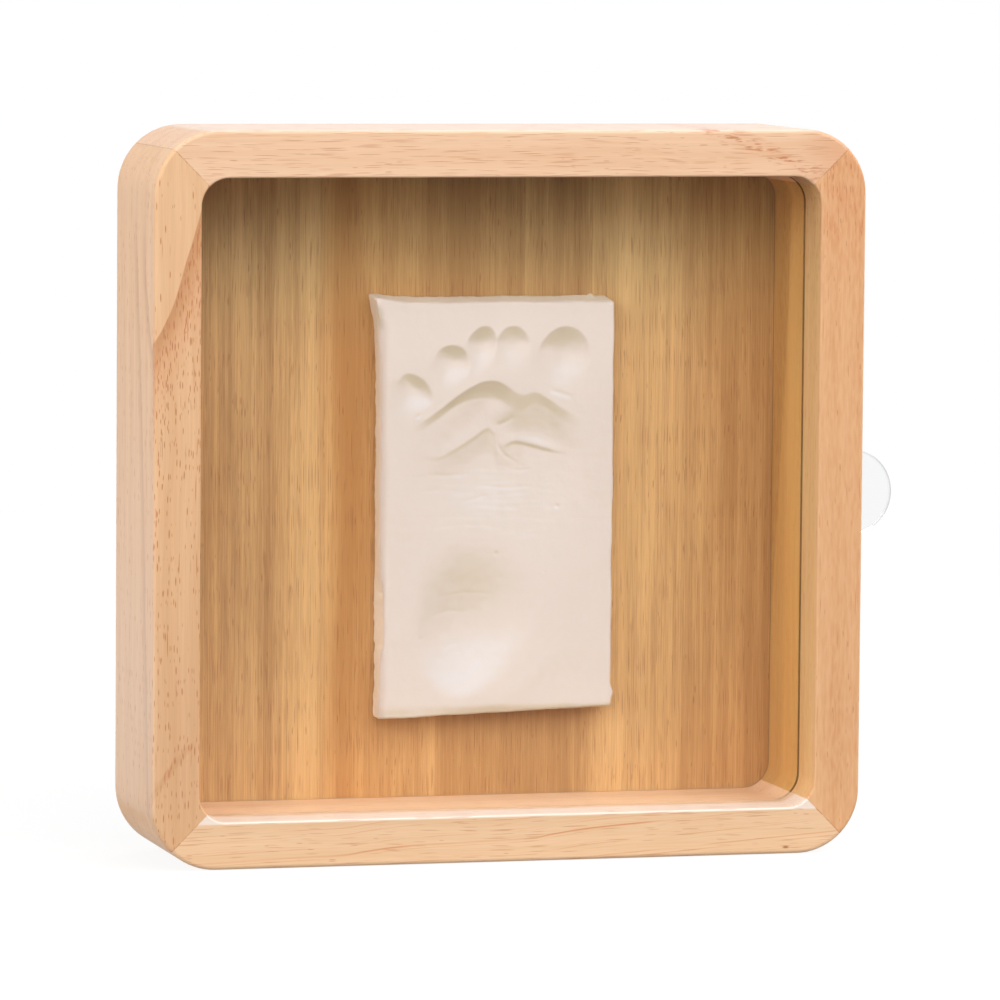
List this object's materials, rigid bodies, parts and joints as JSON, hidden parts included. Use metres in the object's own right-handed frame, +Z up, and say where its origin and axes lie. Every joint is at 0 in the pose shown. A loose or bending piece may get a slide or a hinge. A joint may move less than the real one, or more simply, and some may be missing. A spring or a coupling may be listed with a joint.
{
  "type": "wooden imprint keepsake box",
  "caption": "Square wooden box frame with mitred rounded corners, a clear pane that slides out sideways by a half-round tab, and a back panel that carries a clay footprint slab.",
  "frame": {"origin": "centre of the bottom bar's flat underside, which is the face that the box stands on", "axes": "+Z up, -Y out of the box's open front, +X to the right, the way the pane slides out"},
  "size_m": [0.1811, 0.042, 0.17],
  "materials": {
    "bar_wood": "satin clear coat, fine open grain",
    "dowel_wood": "plain",
    "panel_veneer": "satin veneer, vertical streaky grain",
    "brad_steel": "plain wire",
    "tape_foam": "foam",
    "clay": "matt air-dried clay",
    "clear_sheet": "clear polished sheet"
  },
  "bodies": {
    "frame": {"top_bar": "bar_wood", "bottom_bar": "bar_wood", "left_bar": "bar_wood", "right_bar": "bar_wood", "dowel_top_left_front": "dowel_wood", "dowel_top_left_rear": "dowel_wood", "dowel_top_right_front": "dowel_wood", "dowel_top_right_rear": "dowel_wood", "dowel_bottom_left_front": "dowel_wood", "dowel_bottom_left_rear": "dowel_wood", "dowel_bottom_right_front": "dowel_wood", "dowel_bottom_right_rear": "dowel_wood", "back_panel": "panel_veneer", "panel_brads": "brad_steel", "tape_upper": "tape_foam", "tape_lower": "tape_foam", "clay_imprint": "clay"},
    "pane": {"sliding_pane": "clear_sheet"}
  },
  "joints": [
    {"name": "pane_slide", "type": "slide", "parent": "frame", "child": "pane", "axis": [1, 0, 0], "range_m": [0, 0.165]}
  ]
}
